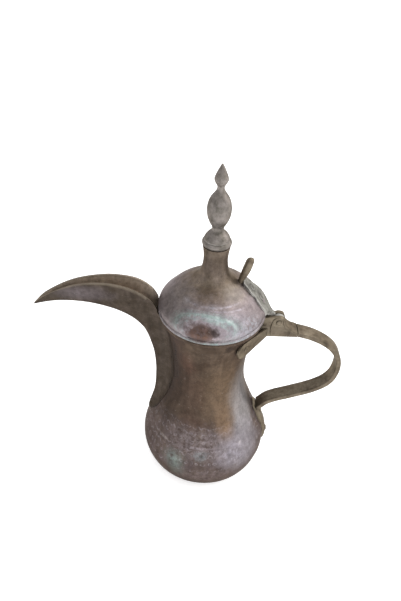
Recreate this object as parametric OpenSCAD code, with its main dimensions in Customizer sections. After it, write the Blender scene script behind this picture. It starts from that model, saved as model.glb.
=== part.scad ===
// Dallah: a long-beaked coffee pot with a domed, hinged lid, a tall finial,
// an open V-section spout and a strap handle riveted to the neck and belly.
// Origin: centre of the flat base. +Z up, spout towards -X, handle towards +X.

/* [Pot] */
// Radius of the flat base
base_r = 44; // [38:0.5:50]
// Widest radius of the belly
belly_r = 57.2; // [50:0.1:62]
// Narrowest radius of the waist
waist_r = 32; // [27:0.1:36]
// Height of the mouth rim above the table
mouth_z = 174; // [160:0.5:190]
// Radius of the mouth rim
mouth_r = 41.2; // [38:0.1:44]
// Thickness of the raised body sheet
wall = 1.4; // [1:0.1:3]
// Thickness of the base plate
base_t = 1.6; // [1:0.1:3]

/* [Spout] */
// Thickness of the spout sheet
spout_t = 1.3; // [1:0.1:2]
// Width of the opening through the neck into the spout
port_w = 9; // [6:0.5:11]
// Bottom and top of that opening
port_z = [112, 166]; // [100:1:168]

/* [Handle] */
// Width of the handle strap
strap_w = 13; // [10:0.5:16]
// Thickness of the handle strap
strap_t = 4.6; // [3:0.1:6]
// Thickness of the leaf plate on the belly
leaf_t = 3; // [2:0.1:4]
// Thickness of the two arms that clasp the neck
clasp_t = 2.4; // [1.5:0.1:3]

/* [Lid] */
// Thickness of the lid sheet
lid_t = 1.2; // [1:0.1:2]
// Radius of the rolled bead round the lid
bead_r = 43.4; // [42:0.1:45]
// Height of the finial's tip above the table
tip_z = 300; // [285:1:310]

/* [Hinge] */
// Hinge axis, distance from the pot's axis
hinge_x = 55; // [52:0.5:58]
// Hinge axis, height above the table
hinge_z = 167; // [164:0.5:170]
// Radius of the hinge pin
pin_r = 1.6; // [1.2:0.1:2]
// Radial clearance of the pin in its bores
pin_gap = 0.05; // [0.02:0.01:0.1]
// Radius of the rivet shanks
rivet_r = 1.5; // [1:0.1:2]

/* [Hidden] */
$fn = 96;
e = 0.05;
copper = [0.36, 0.29, 0.24];
brass = [0.47, 0.41, 0.32];
grey = [0.55, 0.55, 0.52];

// Catmull-Rom curve through the points p, n steps to a span
function cr(a, b, c, d, t) =
    0.5 * (2 * b + (c - a) * t + (2 * a - 5 * b + 4 * c - d) * t * t
    + (3 * b - a - 3 * c + d) * t * t * t);
function curve(p, n) = [
    for (i = [0:len(p) - 2])
        for (j = [0:n - 1])
            cr(p[max(i - 1, 0)], p[i], p[i + 1], p[min(i + 2, len(p) - 1)], j / n),
    p[len(p) - 1]];
function unit(v) = v / norm(v);
// The curve p moved sideways by d, to the left of its run
function beside(p, d) = [
    for (i = [0:len(p) - 1])
        let (t = unit(p[min(i + 1, len(p) - 1)] - p[max(i - 1, 0)]))
            p[i] + d * [-t[1], t[0]]];
function reversed(p) = [for (i = [len(p) - 1:-1:0]) p[i]];

// Outer profile of the pot, [radius, height], from the base to the mouth
pot_line = curve([
    [base_r + 2.2, base_t], [53, 8.7], [56.4, 19], [belly_r, 28], [55.4, 38.5], [50.6, 50.5],
    [43.3, 67.4], [36.1, 86.9], [waist_r + 0.3, 105], [waist_r, 122], [33.7, 143],
    [36.9, 161], [mouth_r, mouth_z]], 5);
// Outer profile of the lid, from the bead up to the foot of the neck
dome_line = curve([
    [42.5, mouth_z + 3.9], [43.1, 181.5], [41.6, 185], [38.7, 188.4], [32.7, 195],
    [25.6, 200.6], [19.4, 204.2], [15.2, 207.6]], 5);
neck_line = curve([
    [15.15, 207.65], [12.3, 211], [10.6, 215], [9.5, 221], [9.3, 227], [9.9, 232.6],
    [10.5, 236.4]], 4);
// Finial, from the foot flange to the tip
finial_line = curve([
    [9.8, 241.6], [9.2, 243.6], [7.3, 246.4], [4.9, 248.8], [4.4, 250.8], [4.8, 252.8],
    [6.5, 255.8], [8.3, 260.6], [8.9, 266.2], [8.1, 271.6], [6.4, 275.6], [4.3, 278.6],
    [2.8, 281.2], [2.8, 283.8], [4.2, 286.4], [5, 289], [4, 292.4], [2.2, 296.4],
    [0.5, tip_z]], 4);

pot_table = [for (p = pot_line) [p[1], p[0]]];
// Solid of revolution under the pot's surface, grown by g
module pot_solid(g) {
    rotate_extrude()
        polygon(concat([[0, base_t]], [for (p = pot_line) p + [g, 0]], [[0, mouth_z]]));
}
module dome_solid(g) {
    rotate_extrude()
        polygon(concat([[0, mouth_z + 3.9]], beside(dome_line, -g), [[0, 207.6 + g]]));
}
// Turns a shape drawn in X and Z into a slab of width w centred on Y = 0
module slab(w) {
    rotate([90, 0, 0])
        translate([0, 0, -w / 2])
            linear_extrude(w)
                children();
}

module port(g) {
    for (z = [port_z[0] + port_w / 2, port_z[1] - port_w / 2])
        translate([-50, 0, z])
            rotate([0, 90, 0])
                cylinder(h = 30, r = port_w / 2 + g);
    translate([-50, -port_w / 2 - g, port_z[0] + port_w / 2])
        cube([30, port_w + 2 * g, port_z[1] - port_z[0] - port_w]);
}

// Rivet placements: on the leaf plate, on each clasp arm and on the hinge strap
leaf_z = [27, 52];
function leaf_slope(z) = z < 45 ? 0 : 24;
clasp_at = [42.5, 156];
strap_at = [[29.6, 197.7], [38, 188.5]];
strap_grip = [1.4, 1.2];
strap_tilt = 46;

module at_leaf(z) {
    translate([lookup(z, pot_table), 0, z])
        rotate([0, 90 - leaf_slope(z), 0])
            children();
}
module at_clasp(side) {
    rotate([0, 0, side * clasp_at[0]])
        translate([lookup(clasp_at[1], pot_table), 0, clasp_at[1]])
            rotate([0, 90, 0])
                children();
}
module at_strap(i) {
    translate([strap_at[i][0], 0, strap_at[i][1]])
        rotate([0, strap_tilt, 0])
            children();
}
// Shank through the sheet with a domed head outside and a peened end inside
module rivet(grip, head) {
    translate([0, 0, -wall - 0.7])
        cylinder(h = grip + wall + 1.2, r = rivet_r);
    translate([0, 0, -wall - 1.4])
        cylinder(h = 1, r = rivet_r + 0.7);
    translate([0, 0, grip])
        intersection() {
            translate([0, 0, 1.1 - head])
                sphere(r = head);
            cylinder(h = 3, r = head);
        }
}
module rivet_hole() {
    translate([0, 0, -6])
        cylinder(h = 14, r = rivet_r + 0.02);
}

module body_shell() {
    color(copper)
        difference() {
            rotate_extrude()
                polygon(concat(pot_line, reversed(beside(pot_line, wall))));
            port(0);
            for (z = leaf_z)
                at_leaf(z) rivet_hole();
            for (s = [-1, 1])
                at_clasp(s) rivet_hole();
        }
}

module base_plate() {
    color(copper)
        rotate_extrude()
            polygon([[0, 0], [base_r, 0], [base_r + 1.6, 0.8], [base_r + 2, base_t], [0, base_t]]);
}

// Rolled wire soldered round the outside of the mouth
module mouth_ring() {
    color(copper)
        difference() {
            rotate_extrude()
                polygon([[39.9, 170.4], [41.4, 170.5], [42.2, 171.3], [42.4, 172.4], [42.2, 173.4],
                    [41.4, mouth_z], [41.3, mouth_z]]);
            pot_solid(e);
        }
}

// Spout ribs: [keel x, keel z, lip x, lip z, half width at the lip]
free_ribs = [
    [-143.9, 171.4, -143.5, 172.8, 0.9], [-135.8, 173.7, -136, 180.6, 2.9],
    [-129, 175.3, -128, 186.3, 3.7], [-122, 176.3, -119.5, 191.2, 4.3],
    [-111.1, 176.6, -108, 196.2, 4.9], [-100, 175.6, -96, 199.1, 5.6],
    [-92.5, 174.2, -85, 200.2, 6.5], [-85.4, 172.2, -75, 199.7, 7.4],
    [-78.5, 169.8, -65, 197.6, 8.3], [-71.5, 166.4, -58, 194.6, 8.9],
    [-65.8, 162.8, -52, 190.4, 9.1], [-60.8, 158.4, -47.4, 185.4, 9.1],
    [-56.8, 153.4, -44, 179, 9.1], [-54.6, 150, -43, 174.6, 9]];
// Ribs that end on the neck: [keel x, keel z, seam height, half width at the seam]
neck_ribs = [
    [-52, 143.6, 164.5, 8.8], [-49.6, 135.5, 153, 8.6], [-47.6, 127, 141, 8.4],
    [-46.4, 118, 130, 8.2], [-45.8, 108, 118, 8], [-45.8, 97, 105, 7.6], [-46.2, 87, 93, 7.1],
    [-47.4, 77.5, 82, 6.6], [-49.8, 67.6, 71, 5.4], [-52.2, 59, 61, 3.8],
    [-53, 54, 55, 2.4], [-52.6, 50.5, 51, 1.4]];
function seam_x(z, s) = -sqrt(pow(lookup(z, pot_table) + 0.15, 2) - s * s);
ribs = concat(free_ribs, [for (r = neck_ribs) [r[0], r[1], seam_x(r[2], r[3]), r[2], r[3]]]);
// Six corners of a rib: keel, near lip, inside of near lip, inside keel, and the far pair
function rib(r) = let (
    k = [r[0], 0, r[1]],
    m = [r[2], 0, r[3]],
    u = unit(m - k),
    d = norm(m - k),
    t = min(spout_t, 0.45 * r[4]),
    w = [0, r[4], 0],
    deep = min(t * sqrt(d * d + r[4] * r[4]) / r[4], 0.6 * d))
    [k, m - w, m - w + [0, t, 0], k + deep * u, m + w - [0, t, 0], m + w];

module spout() {
    pts = [for (r = ribs) for (p = rib(r)) p];
    n = len(ribs);
    side = [for (i = [0:n - 2]) for (j = [0:5]) let (a = 6 * i + j, b = 6 * i + (j + 1) % 6)
        for (f = [[a, b, b + 6], [a, b + 6, a + 6]]) f];
    cap = [[0, 3, 2], [0, 2, 1], [0, 5, 4], [0, 4, 3]];
    last = 6 * (n - 1);
    far_cap = [for (f = cap) [f[2] + last, f[1] + last, f[0] + last]];
    color(copper)
        polyhedron(points = pts, faces = concat(side, cap, far_cap));
}

// Side outline of the cast bracket: flat below, arched hinge lug, ogee down to the strap
bracket_line = concat(
    [[34, 153.2], [71.5, 153.9]], curve([[71.5, 158.4], [67.6, 159.6], [64.2, 162.2],
    [61.2, 165.2]], 4),
    [for (a = [5:15:110]) [hinge_x, hinge_z] + 5.6 * [cos(a), sin(a)]],
    [[47.5, 172.4], [34, 170.2]]);
module handle_bracket() {
    color(brass)
        difference() {
            union() {
                intersection() {
                    slab(strap_w)
                        polygon(bracket_line);
                    translate([30, -10, 150])
                        cube([45, 20, 12.5]);
                }
                slab(9.4)
                    polygon(bracket_line);
            }
            pot_solid(e);
            rotate_extrude()
                polygon([[30, 170.3], [42.5, 170.3], [42.5, 180], [30, 180]]);
            // slot for the lid's knuckle
            slab(3.8)
                polygon(concat([[44, 180], [44, 168]],
                    [for (a = [180:15:360]) [hinge_x, hinge_z] + 6.2 * [cos(a), sin(a)]],
                    [[62.4, 180]]));
            translate([hinge_x, 20, hinge_z])
                rotate([90, 0, 0])
                    cylinder(h = 40, r = pin_r + pin_gap);
        }
}

// Where the strap meets the bracket's end face
strap_end = 71.55;
// Middle line of the strap, from the bracket round to the leaf
handle_mid = curve([
    [71.6, 156.1], [83, 153], [94, 148], [102.5, 141.6], [108.6, 134], [112, 125], [112.5, 115.5],
    [110.8, 106], [106, 97.8], [98.6, 91.6], [89, 86], [77, 80.6], [65, 75.4], [56.4, 70.6],
    [52, 65.4], [45, 57.2]], 4);
module handle_strap() {
    color(brass)
        difference() {
            slab(strap_w)
                polygon(concat(beside(handle_mid, strap_t / 2),
                    reversed(beside(handle_mid, -strap_t / 2))));
            // lower end lands on the leaf plate
            pot_solid(leaf_t + e);
            // square end against the bracket
            translate([strap_end - 12, -10, 145])
                cube([12, 20, 20]);
        }
}

leaf_half = [[5.6, 64.4], [6.8, 58], [7.8, 48], [8, 35], [7.4, 24], [5, 16.5], [0, 13]];
module leaf_outline() {
    polygon(concat(
        curve([for (p = leaf_half) [-p[0], p[1]]], 4),
        reversed(curve(leaf_half, 4))));
}
module handle_leaf() {
    color(brass)
        difference() {
            intersection() {
                translate([30, 0, 0])
                    rotate([90, 0, 90])
                        linear_extrude(40)
                            leaf_outline();
                pot_solid(leaf_t);
            }
            pot_solid(e);
            for (z = leaf_z)
                at_leaf(z) rivet_hole();
        }
}
module leaf_rivets() {
    color(brass)
        for (z = leaf_z)
            at_leaf(z) rivet(leaf_t * cos(leaf_slope(z)) + 0.15, 2.9);
}

// One arm of the neck clasp: a flat plate running from the bracket's cheek to the
// side of the neck, which it meets square at arm_turn degrees; side -1 is the near one
arm_turn = clasp_at[0];
arm_face = 38.6;
module clasp(side) {
    difference() {
        rotate([0, 0, side * arm_turn])
            translate([arm_face - clasp_t, 0, 0])
                rotate([90, 0, 90])
                    linear_extrude(clasp_t)
                        scale([-side, 1])
                            union() {
                                polygon([[-2, 148.4], [27, 152.9], [27, 161.6], [-2, 163.4]]);
                                translate([-2, 155.9])
                                    circle(r = 7.5);
                            }
        pot_solid(e);
        translate([0, -strap_w / 2 - e, 140])
            cube([60, strap_w + 2 * e, 40]);
        at_clasp(side) rivet_hole();
    }
}
module clasp_near() {
    color(brass) clasp(-1);
}
module clasp_far() {
    color(brass) clasp(1);
}
module clasp_rivets() {
    color(brass)
        for (s = [-1, 1])
            at_clasp(s) rivet(arm_face - lookup(clasp_at[1], pot_table), 2.7);
}

module hinge_pin() {
    color(brass)
        translate([hinge_x, 0, hinge_z])
            rotate([90, 0, 0]) {
                cylinder(h = 11, r = pin_r, center = true);
                for (s = [-1, 1])
                    translate([0, 0, s * 5.3])
                        cylinder(h = 1, r = 2.5, center = true);
            }
}

module lid_dome() {
    color(copper)
        difference() {
            rotate_extrude()
                polygon(concat(dome_line, reversed(beside(dome_line, lid_t))));
            for (i = [0, 1])
                at_strap(i) rivet_hole();
        }
}
module lid_bead() {
    color(copper)
        rotate_extrude()
            translate([bead_r - 1.75, mouth_z + 2.1])
                circle(r = 1.75, $fn = 32);
}
// Ring inside the bead, with the skirt that drops into the mouth
module lid_seat() {
    color(copper)
        rotate_extrude()
            polygon([[35.8, 170.6], [36.8, 170.6], [36.8, 174.6], [39.8, 175], [39.8, 176.4],
                [35.8, 176]]);
}
module lid_neck() {
    color(copper)
        rotate_extrude()
            polygon(concat(neck_line, reversed(beside(neck_line, lid_t))));
}
module collar_ring() {
    color(copper)
        rotate_extrude()
            polygon(concat([[4, 236.45]], [for (a = [-75:15:90])
                [8.6, 239] + 2.5 * [cos(a), sin(a)]], [[4, 241.5]]));
}
module finial() {
    color(copper)
        difference() {
            rotate_extrude()
                polygon(concat([[0, 241.55]], finial_line, [[0, tip_z]]));
            translate([0, 0, 240])
                cylinder(h = 7, r = 2.25);
        }
}
dome_table = [for (p = reversed(beside(dome_line, lid_t))) [p[0], p[1]]];
washer_z = lookup(15.2, dome_table) - 1.4;
module finial_tang() {
    color(brass) {
        translate([0, 0, washer_z - 1.6])
            cylinder(h = 246.6 - washer_z + 1.6, r = 2.2);
        translate([0, 0, washer_z - 1.7])
            cylinder(h = 1.6, r = 3.6);
    }
}
module tang_washer() {
    color(brass)
        translate([0, 0, washer_z])
            difference() {
                cylinder(h = 1.2, r = 15);
                translate([0, 0, -1])
                    cylinder(h = 4, r = 2.25);
            }
}

// Hinge strap: scalloped leaf on the dome, narrowing to the knuckle on the pin
strap_top = concat(
    curve([[23, 205.3], [28, 201.2], [34, 194.6], [40, 187.6], [45.2, 181.2], [50.4, 174.8],
        [54, 172.1]], 4),
    [for (a = [90:-15:-150]) [hinge_x, hinge_z] + 5 * [cos(a), sin(a)]],
    [[49.2, 170.5], [45.4, 176.6], [43.8, 179.5], [30, 180], [23, 195]]);
strap_half = concat(
    curve([[22.9, 4.6], [26, 6.6], [29, 8.6], [31.6, 8.4]], 3),
    curve([[31.6, 8.4], [34, 10.6], [38, 12.2], [41.6, 11.8], [44, 9]], 4),
    curve([[44, 9], [45.8, 6.2], [46.6, 3.4], [48.6, 1.7]], 3), [[62, 1.7]]);
module hinge_strap() {
    color(grey)
        difference() {
            intersection() {
                slab(30)
                    polygon(strap_top);
                translate([0, 0, 150])
                    linear_extrude(70)
                        polygon(concat(strap_half, [for (p = reversed(strap_half)) [p[0], -p[1]]]));
            }
            dome_solid(e);
            rotate_extrude()
                translate([bead_r - 1.75, mouth_z + 2.1])
                    circle(r = 1.85, $fn = 32);
            translate([hinge_x, 20, hinge_z])
                rotate([90, 0, 0])
                    cylinder(h = 40, r = pin_r + pin_gap);
            for (i = [0, 1])
                at_strap(i) rivet_hole();
        }
}
module strap_rivets() {
    color(grey)
        for (i = [0, 1])
            at_strap(i) rivet(strap_grip[i], 2.6);
}
// Thumb lever: upright paddle leaning back from the strap's front end
module thumb_lever() {
    color(brass)
        difference() {
            intersection() {
                slab(10)
                    polygon(concat([[18.6, 200], [18.9, 205]], curve([[18.9, 205], [21.3, 212],
                        [23.3, 219.6], [24.5, 224], [26.2, 226], [27.9, 224.6], [27.3, 220.6],
                        [25.6, 213.6], [22.8, 205.6]], 4), [[22.8, 200]]));
                rotate([90, 0, 90])
                    linear_extrude(40)
                        polygon(concat([[-2.6, 190], [-2.6, 206]], curve([[-2.6, 206], [-3.4, 212],
                            [-4, 218], [-3.4, 223.4], [0, 226.2], [3.4, 223.4], [4, 218],
                            [3.4, 212], [2.6, 206]], 4), [[2.6, 190]]));
            }
            dome_solid(e);
        }
}

body_shell();
base_plate();
mouth_ring();
spout();
handle_bracket();
handle_strap();
handle_leaf();
leaf_rivets();
clasp_near();
clasp_far();
clasp_rivets();
hinge_pin();
lid_dome();
lid_bead();
lid_seat();
lid_neck();
collar_ring();
finial();
finial_tang();
tang_washer();
hinge_strap();
strap_rivets();
thumb_lever();
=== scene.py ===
"""Dallah coffee pot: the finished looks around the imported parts.

A raised copper pot with a long open beak, a domed lid on a pinned hinge, a
tall turned finial and a brass strap handle riveted to the neck and belly.
Lengths here are in millimetres, and become metres where they reach Blender.
"""

from __future__ import annotations

import logging
import math
from collections.abc import Callable, Iterator, Sequence
from contextlib import contextmanager
from dataclasses import dataclass
from enum import Enum
from functools import partial

import bmesh
import bpy
from mathutils import Matrix, Vector


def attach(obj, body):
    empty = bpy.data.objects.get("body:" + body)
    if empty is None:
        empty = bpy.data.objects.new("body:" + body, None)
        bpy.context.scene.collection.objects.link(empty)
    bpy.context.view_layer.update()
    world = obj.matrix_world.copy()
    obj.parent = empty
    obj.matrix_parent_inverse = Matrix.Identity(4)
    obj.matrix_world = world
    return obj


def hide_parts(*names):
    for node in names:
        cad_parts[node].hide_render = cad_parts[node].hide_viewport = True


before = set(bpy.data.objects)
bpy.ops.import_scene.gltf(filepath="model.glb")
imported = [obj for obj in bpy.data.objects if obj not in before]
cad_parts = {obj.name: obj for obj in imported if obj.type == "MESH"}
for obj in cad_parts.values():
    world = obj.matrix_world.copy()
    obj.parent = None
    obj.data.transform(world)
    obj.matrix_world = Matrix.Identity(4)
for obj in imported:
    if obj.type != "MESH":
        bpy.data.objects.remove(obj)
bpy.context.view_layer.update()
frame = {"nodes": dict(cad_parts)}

log = logging.getLogger("dallah")
MM = 0.001
Point = tuple[float, ...]
Line = list[Point]
Piece = bpy.types.Object
Metal = bpy.types.Material
Source = bpy.types.Node | bpy.types.NodeSocket
# each piece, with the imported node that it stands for
Made = list[tuple[Piece, str]]

# shared by the pieces that meet at them
HINGE = (55, 167)
PIN_BORE = 1.65


class Body(Enum):
    """The two moving bodies that pieces ride on."""

    POT = "pot"
    LID = "lid"


class Slot(Enum):
    """The record's finishes."""

    COPPER = "patinated_copper"
    BRASS = "handle_brass"
    CAST = "cast_strap"


# ---------------------------------------------------------------- lines


def curve(points: Sequence[Point], steps: int) -> Line:
    """Run a Catmull-Rom curve through points of any number of values.

    Args:
        points: The points that the curve passes through.
        steps: How many pieces each span is cut into.

    Returns:
        The points along the curve, both ends included.
    """
    found: Line = []
    last = len(points) - 1
    for i in range(last):
        a, b, c, d = (points[min(max(k, 0), last)] for k in (i - 1, i, i + 1, i + 2))
        for j in range(steps):
            t = j / steps
            found.append(tuple(
                0.5 * (2 * q + (r - p) * t + (2 * p - 5 * q + 4 * r - s) * t * t
                       + (3 * q - p - 3 * r + s) * t**3)
                for p, q, r, s in zip(a, b, c, d)))
    return found + [tuple(points[-1])]


def evened(line: Sequence[Point], spacing: float) -> Line:
    """Space a line's points evenly.

    Args:
        line: The line's points.
        spacing: The distance wanted between neighbours.

    Returns:
        The line again, with its ends kept.
    """
    runs = [0.0]
    for a, b in zip(line, line[1:]):
        runs.append(runs[-1] + math.dist(a, b))
    count = max(2, round(runs[-1] / spacing))
    found, k = [], 0
    for i in range(count + 1):
        want = runs[-1] * i / count
        while k < len(runs) - 2 and runs[k + 1] < want:
            k += 1
        t = (want - runs[k]) / max(runs[k + 1] - runs[k], 1e-9)
        found.append(tuple(p + (q - p) * t for p, q in zip(line[k], line[k + 1])))
    return found


def lookup(line: Sequence[Point], key: float, by: int = 1, give: int = 0) -> float:
    """Read one value of a line where another value is key.

    Args:
        line: Points whose value number by rises or falls all along.
        key: The value looked for.
        by: Which value is compared with key.
        give: Which value is given back.

    Returns:
        The value between the two points on either side of key.
    """
    rows = sorted(line, key=lambda p: p[by])
    if key <= rows[0][by]:
        return rows[0][give]
    for a, b in zip(rows, rows[1:]):
        if key <= b[by]:
            t = (key - a[by]) / max(b[by] - a[by], 1e-9)
            return a[give] + (b[give] - a[give]) * t
    return rows[-1][give]


def beside(line: Sequence[Point], distance: float) -> Line:
    """Move a flat line sideways, to the left of its run."""
    found = []
    for i, (x, z) in enumerate(line):
        a, b = line[max(i - 1, 0)], line[min(i + 1, len(line) - 1)]
        size = math.dist(a, b) or 1.0
        found.append((x - distance * (b[1] - a[1]) / size, z + distance * (b[0] - a[0]) / size))
    return found


# ------------------------------------------------------------ modelling


def deselect() -> None:
    """Leave edit mode and select nothing."""
    if bpy.context.object and bpy.context.object.mode != "OBJECT":
        bpy.ops.object.mode_set(mode="OBJECT")
    bpy.ops.object.select_all(action="DESELECT")


def pick(piece: Piece) -> None:
    """Select one piece alone and make it the active one."""
    deselect()
    piece.select_set(True)
    bpy.context.view_layer.objects.active = piece


@contextmanager
def editing(piece: Piece) -> Iterator[None]:
    """Open a piece in edit mode, and close it again afterwards."""
    pick(piece)
    bpy.ops.object.mode_set(mode="EDIT")
    bpy.ops.mesh.select_mode(type="VERT")
    yield
    bpy.ops.object.mode_set(mode="OBJECT")


def tidy() -> None:
    """Merge doubles and turn every face outwards, in edit mode."""
    bpy.ops.mesh.select_all(action="SELECT")
    bpy.ops.mesh.remove_doubles(threshold=2e-6)
    bpy.ops.mesh.normals_make_consistent(inside=False)


def apply(piece: Piece, kind: str, **settings: object) -> None:
    """Add a modifier with its settings and apply it.

    Args:
        piece: The piece it shapes.
        kind: Blender's name of the modifier.
        **settings: The modifier's own settings.
    """
    pick(piece)
    modifier = piece.modifiers.new(kind.title(), kind)
    for key, value in settings.items():
        setattr(modifier, key, value)
    bpy.ops.object.modifier_apply(modifier=modifier.name)


def cut(piece: Piece, *tools: Piece) -> None:
    """Take each tool's volume out of a piece, and throw the tool away."""
    for tool in tools:
        apply(piece, "BOOLEAN", object=tool, operation="DIFFERENCE", solver="EXACT")
        bpy.data.objects.remove(tool)


def weld(piece: Piece, *others: Piece) -> None:
    """Make other closed meshes one solid with a piece."""
    for other in others:
        apply(piece, "BOOLEAN", object=other, operation="UNION", solver="EXACT")
        bpy.data.objects.remove(other)


def softened(piece: Piece, width: float, segments: int = 2, angle: float = 40) -> None:
    """Round a piece's sharp edges.

    Args:
        piece: The piece to round.
        width: The bevel's width.
        segments: Facets across the bevel.
        angle: Edges that turn more than this are rounded, in degrees.
    """
    apply(piece, "BEVEL", width=width * MM, segments=segments, limit_method="ANGLE",
          angle_limit=math.radians(angle), use_clamp_overlap=True)


def dented(piece: Piece, size: float, depth: float, group: str = "") -> None:
    """Give a surface the unevenness of hand work.

    Args:
        piece: The piece to uneven.
        size: How wide the dents are.
        depth: How far they reach in or out.
        group: The vertex group they are kept to, or all over.
    """
    clouds = bpy.data.textures.new(f"{piece.name}_dents", "CLOUDS")
    clouds.noise_scale, clouds.noise_depth = size * MM, 1
    apply(piece, "DISPLACE", texture=clouds, strength=2 * depth * MM, mid_level=0.5,
          vertex_group=group)


def grouped(piece: Piece, name: str, weights: Sequence[float]) -> None:
    """Write one weight for each vertex into a new vertex group."""
    group = piece.vertex_groups.new(name=name)
    for i, weight in enumerate(weights):
        if weight > 0:
            group.add([i], min(weight, 1.0), "REPLACE")


def turned(name: str, line: Sequence[Point], steps: int, shut: bool = False) -> Piece:
    """Draw a profile point by point and spin it round Z.

    Args:
        name: The piece's name.
        line: The profile, (radius, height) from one end to the other.
        steps: Facets round the turn.
        shut: Whether the profile's last point is joined to its first.

    Returns:
        The turned piece.
    """
    deselect()
    bpy.ops.mesh.primitive_plane_add(size=MM)
    piece = bpy.context.object
    piece.name = piece.data.name = name
    with editing(piece):
        bpy.ops.mesh.select_all(action="SELECT")
        bpy.ops.mesh.merge(type="CENTER")
        bpy.ops.transform.translate(value=(line[0][0] * MM, 0, line[0][1] * MM))
        for a, b in zip(line, line[1:]):
            step = ((b[0] - a[0]) * MM, 0, (b[1] - a[1]) * MM)
            bpy.ops.mesh.extrude_vertices_move(TRANSFORM_OT_translate={"value": step})
        if shut:
            mesh = bmesh.from_edit_mesh(piece.data)
            for vertex in mesh.verts:
                vertex.select_set(len(vertex.link_edges) < 2)
            mesh.select_flush_mode()
            bpy.ops.mesh.edge_face_add()
        bpy.ops.mesh.select_all(action="SELECT")
        bpy.ops.mesh.spin(steps=steps, angle=math.tau, center=(0, 0, 0), axis=(0, 0, 1))
        tidy()
    return piece


def lofted(name: str, sections: Sequence[Sequence[Point]]) -> Piece:
    """Extrude a closed section from station to station.

    Args:
        name: The piece's name.
        sections: The stations' sections, with the same number of points each.

    Returns:
        The piece, closed at both ends.
    """
    deselect()
    bpy.ops.mesh.primitive_circle_add(vertices=len(sections[0]), radius=MM)
    piece = bpy.context.object
    piece.name = piece.data.name = name
    with editing(piece):
        mesh = bmesh.from_edit_mesh(piece.data)
        rank = mesh.verts.layers.int.new("rank")
        for i, vertex in enumerate(mesh.verts):
            vertex[rank] = i
        bpy.ops.mesh.select_all(action="SELECT")
        bpy.ops.mesh.edge_face_add()
        for number, section in enumerate(sections):
            if number:
                bpy.ops.mesh.extrude_region_move()
            mesh = bmesh.from_edit_mesh(piece.data)
            rank = mesh.verts.layers.int["rank"]
            for vertex in mesh.verts:
                if vertex.select:
                    vertex.co = Vector(section[vertex[rank]]) * MM
            bmesh.update_edit_mesh(piece.data)
        tidy()
    piece.data.attributes.remove(piece.data.attributes["rank"])
    return piece


def slab(name: str, outline: Sequence[Point], near: float, far: float) -> Piece:
    """Extrude a side outline, drawn in X and Z, across Y from near to far."""
    return lofted(name, [[(x, y, z) for x, z in outline] for y in (near, far)])


def moved(piece: Piece, matrix: Matrix) -> Piece:
    """Set a piece in place and put that place into its mesh."""
    pick(piece)
    piece.matrix_world = matrix
    bpy.ops.object.transform_apply(location=True, rotation=True, scale=True)
    return piece


def joined(name: str, pieces: Sequence[Piece]) -> Piece:
    """Join pieces that don't touch into one object."""
    pick(pieces[0])
    for piece in pieces:
        piece.select_set(True)
    bpy.ops.object.join()
    pieces[0].name = pieces[0].data.name = name
    return pieces[0]


def mark(piece: Piece, name: str, values: Sequence[float]) -> None:
    """Write one number for each vertex, for a finish to read."""
    layer = piece.data.attributes.new(name, "FLOAT", "POINT")
    layer.data.foreach_set("value", values)


def mark_worn(piece: Piece, full: float = 50) -> None:
    """Write how far each vertex stands on an outward edge, for worn finishes.

    Args:
        piece: The finished piece.
        full: The edge angle that counts as fully exposed, in degrees.
    """
    mesh = bmesh.new()
    mesh.from_mesh(piece.data)
    mesh.verts.ensure_lookup_table()
    worn = [
        min(1.0, max((math.degrees(e.calc_face_angle_signed(0.0)) for e in v.link_edges),
                     default=0.0) / full)
        for v in mesh.verts]
    mesh.free()
    mark(piece, "worn", [max(w, 0.0) for w in worn])


class SubAssembly:
    """What the sub-assemblies share: how their pieces are dressed and mounted.

    BODY is the body they ride on and SLOT the record's finish they take. Edges
    sharper than CRISP degrees stay crisp, and WORN says whether outward edges
    are rubbed bright.
    """

    BODY = Body.POT
    SLOT = Slot.COPPER
    CRISP = 32.0
    WORN = True

    def dress(self, pieces: Made, metal: Metal) -> None:
        """Smooth, dress and mount the finished pieces.

        Args:
            pieces: The pieces, in place.
            metal: Their material.
        """
        for piece, node in pieces:
            pick(piece)
            bpy.ops.object.shade_smooth_by_angle(angle=math.radians(self.CRISP))
            if self.WORN:
                mark_worn(piece)
            piece.data.materials.clear()
            piece.data.materials.append(metal)
            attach(piece, self.BODY.value)
            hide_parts(node)
            log.info("%s: %d faces", piece.name, len(piece.data.polygons))


def squarer(value: float, power: float) -> float:
    """Push a sine or cosine outwards, so that a ring drawn with it is squarer."""
    return math.copysign(abs(value) ** power, value)


def across(x: float, z: float) -> Matrix:
    """Give the matrix that lays a turned piece along Y at x and z."""
    return (Matrix.Translation(Vector((x, 0, z)) * MM)
            @ Matrix.Rotation(math.radians(90), 4, "X"))


def bored(piece: Piece) -> Piece:
    """Drill the hinge pin's hole through a piece."""
    drill = turned("bore_tool", [(0, -20), (PIN_BORE, -20), (PIN_BORE, 20), (0, 20)], 40)
    cut(piece, moved(drill, across(*HINGE)))
    return piece


def framed(path: Sequence[Point]) -> Iterator[tuple[int, Vector, Vector]]:
    """Go along a flat path with the direction that stands out from it.

    Args:
        path: The path, (x, z).

    Yields:
        Each point's number, its place and its outward direction.
    """
    for i, (x, z) in enumerate(path):
        a, b = path[max(i - 1, 0)], path[min(i + 1, len(path) - 1)]
        along = Vector((b[0] - a[0], 0, b[1] - a[1])).normalized()
        yield i, Vector((x, 0, z)), Vector((-along.z, 0, along.x))


# ------------------------------------------------------------- finishes


def linear(code: str) -> Point:
    """Turn an sRGB hex colour into the linear colour that Blender uses."""
    values = [int(code.lstrip("#")[i:i + 2], 16) / 255 for i in (0, 2, 4)]
    return (*(v / 12.92 if v <= 0.04045 else ((v + 0.055) / 1.055) ** 2.4 for v in values), 1.0)


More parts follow.
